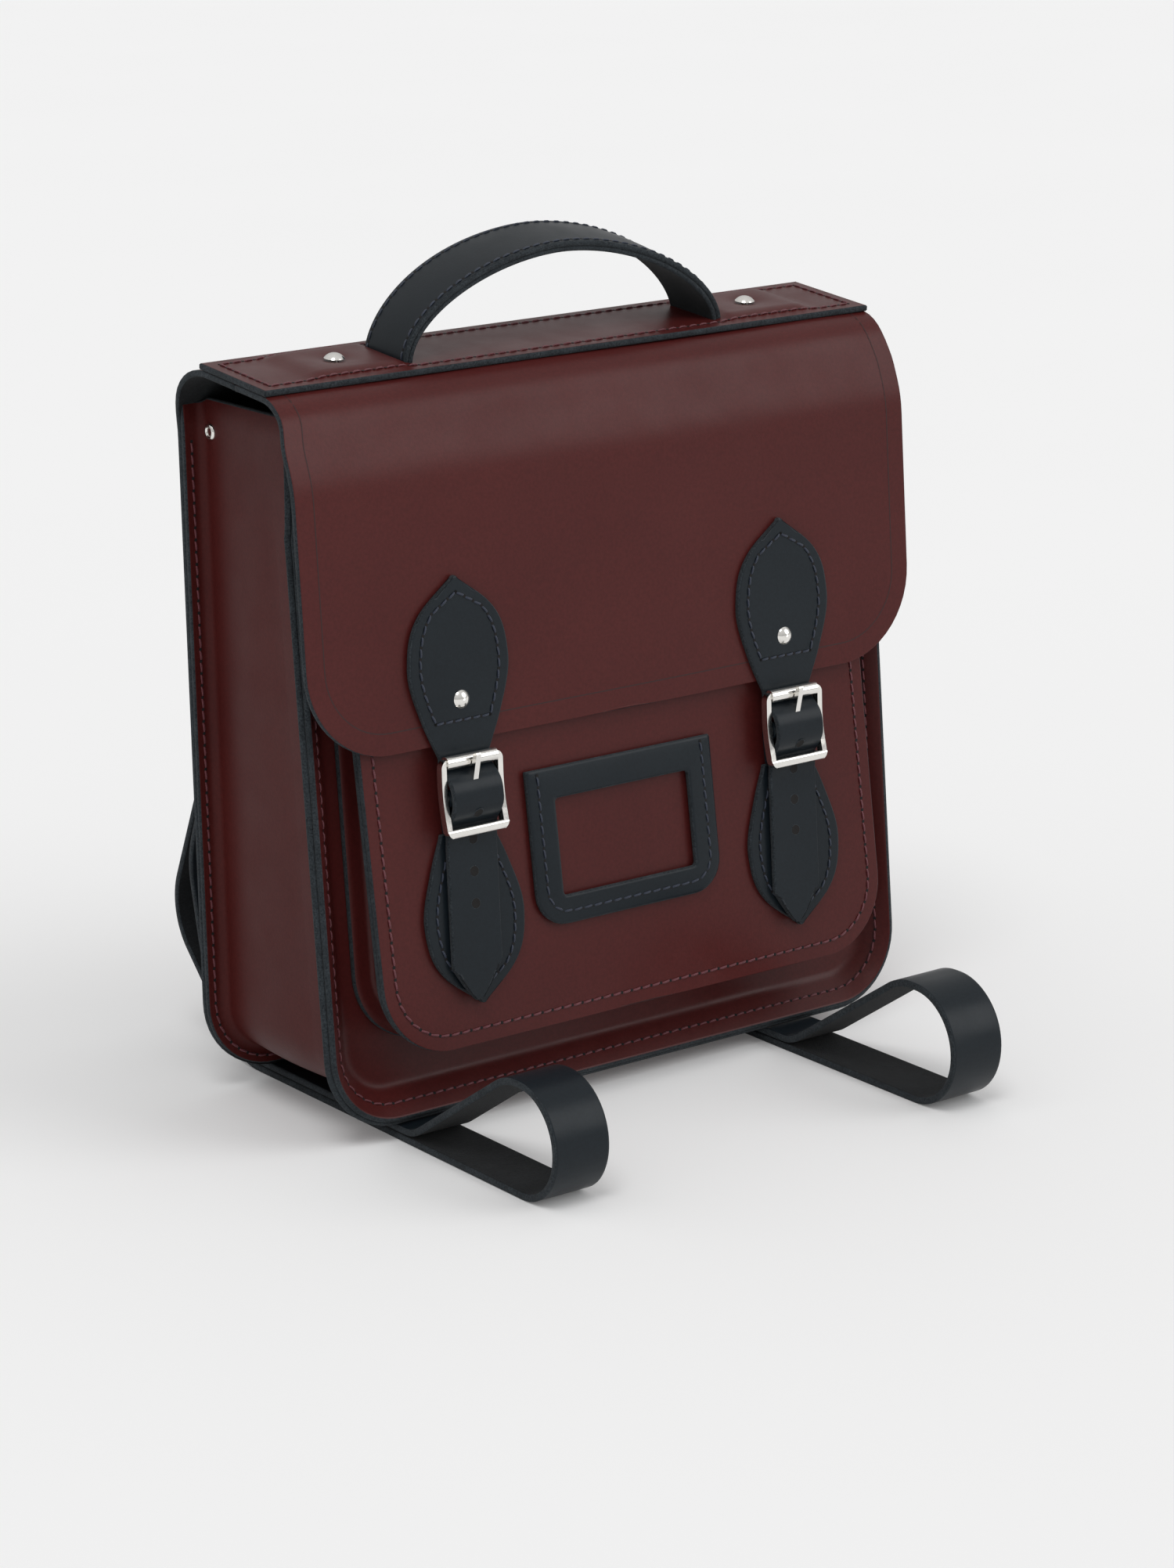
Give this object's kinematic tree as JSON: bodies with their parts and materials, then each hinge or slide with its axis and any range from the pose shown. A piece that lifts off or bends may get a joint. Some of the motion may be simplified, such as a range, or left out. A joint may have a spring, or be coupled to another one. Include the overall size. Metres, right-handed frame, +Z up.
{
  "type": "satchel bag",
  "caption": "Small structured leather satchel with full front flap, buckled closure straps, front pocket, card holder, top handle and shoulder straps for wearing on the back.",
  "frame": {"origin": "on the floor under the middle of the whole object, shoulder straps included", "axes": "+X to the right seen from the front, -Y out of the front, +Z up"},
  "size_m": [0.26, 0.25, 0.3018],
  "materials": {
    "burgundy_leather": "smooth, fine grain, semi-matt, raw blue-grey cut edges",
    "navy_leather": "smooth, fine grain, semi-matt, raw blue-grey cut edges",
    "nickel": "polished",
    "snap_steel": "satin"
  },
  "bodies": {
    "bag": {"back_panel": "burgundy_leather", "gusset": "burgundy_leather", "gusset_eyelets": "nickel", "front_panel": "burgundy_leather", "pocket_gusset": "burgundy_leather", "pocket_panel": "burgundy_leather", "card_holder": "navy_leather", "lower_tab_left": "navy_leather", "lower_tab_right": "navy_leather", "snap_sockets": "snap_steel", "shoulder_strap_left": "navy_leather", "shoulder_strap_right": "navy_leather", "strap_anchor_left": "burgundy_leather", "strap_anchor_right": "burgundy_leather", "adjuster_chape_left": "navy_leather", "adjuster_chape_right": "navy_leather", "adjuster_frame_left": "nickel", "adjuster_frame_right": "nickel", "anchor_rivets": "nickel"},
    "top": {"top_panel": "burgundy_leather", "top_strip": "burgundy_leather", "handle": "navy_leather", "handle_rivets": "nickel"},
    "flap": {"flap_panel": "burgundy_leather", "closure_strap_left": "navy_leather", "closure_strap_right": "navy_leather", "closure_rivets": "nickel", "buckle_frame_left": "nickel", "buckle_frame_right": "nickel", "buckle_chape_left": "navy_leather", "buckle_chape_right": "navy_leather", "snap_studs": "snap_steel"},
    "closure_prong_left": {"buckle_prong_left": "nickel"},
    "closure_roller_left": {"buckle_roller_left": "nickel"},
    "closure_prong_right": {"buckle_prong_right": "nickel"},
    "closure_roller_right": {"buckle_roller_right": "nickel"},
    "strap_prong_left": {"adjuster_prong_left": "nickel"},
    "strap_roller_left": {"adjuster_roller_left": "nickel"},
    "strap_prong_right": {"adjuster_prong_right": "nickel"},
    "strap_roller_right": {"adjuster_roller_right": "nickel"}
  },
  "joints": [
    {"name": "top_fold", "type": "hinge", "parent": "bag", "child": "top", "pos_m": [0, 0.05615, 0.25766], "axis": [-1, 0, 0], "range_deg": [0, 105]},
    {"name": "flap_fold", "type": "hinge", "parent": "top", "child": "flap", "pos_m": [0, -0.00763, 0.25557], "axis": [-1, 0, 0], "range_deg": [0, 80]},
    {"name": "closure_prong_lift_left", "type": "hinge", "parent": "flap", "child": "closure_prong_left", "pos_m": [-0.07, -0.02847, 0.12059], "axis": [1, 0, 0], "range_deg": [0, 10]},
    {"name": "closure_roller_spin_left", "type": "hinge", "parent": "flap", "child": "closure_roller_left", "pos_m": [-0.07, -0.02857, 0.13301], "axis": [1, 0, 0], "continuous": true},
    {"name": "closure_prong_lift_right", "type": "hinge", "parent": "flap", "child": "closure_prong_right", "pos_m": [0.07, -0.02847, 0.12059], "axis": [1, 0, 0], "range_deg": [0, 10]},
    {"name": "closure_roller_spin_right", "type": "hinge", "parent": "flap", "child": "closure_roller_right", "pos_m": [0.07, -0.02857, 0.13301], "axis": [1, 0, 0], "continuous": true},
    {"name": "strap_prong_lift_left", "type": "hinge", "parent": "bag", "child": "strap_prong_left", "pos_m": [-0.0875, 0.0688, 0.0675], "axis": [-1, 0, 0], "range_deg": [0, 10]},
    {"name": "strap_roller_spin_left", "type": "hinge", "parent": "bag", "child": "strap_roller_left", "pos_m": [-0.0875, 0.0705, 0.0798], "axis": [1, 0, 0], "continuous": true},
    {"name": "strap_prong_lift_right", "type": "hinge", "parent": "bag", "child": "strap_prong_right", "pos_m": [0.0747, 0.0688, 0.0675], "axis": [-1, 0, 0], "range_deg": [0, 10]},
    {"name": "strap_roller_spin_right", "type": "hinge", "parent": "bag", "child": "strap_roller_right", "pos_m": [0.0747, 0.0705, 0.0798], "axis": [1, 0, 0], "continuous": true}
  ]
}
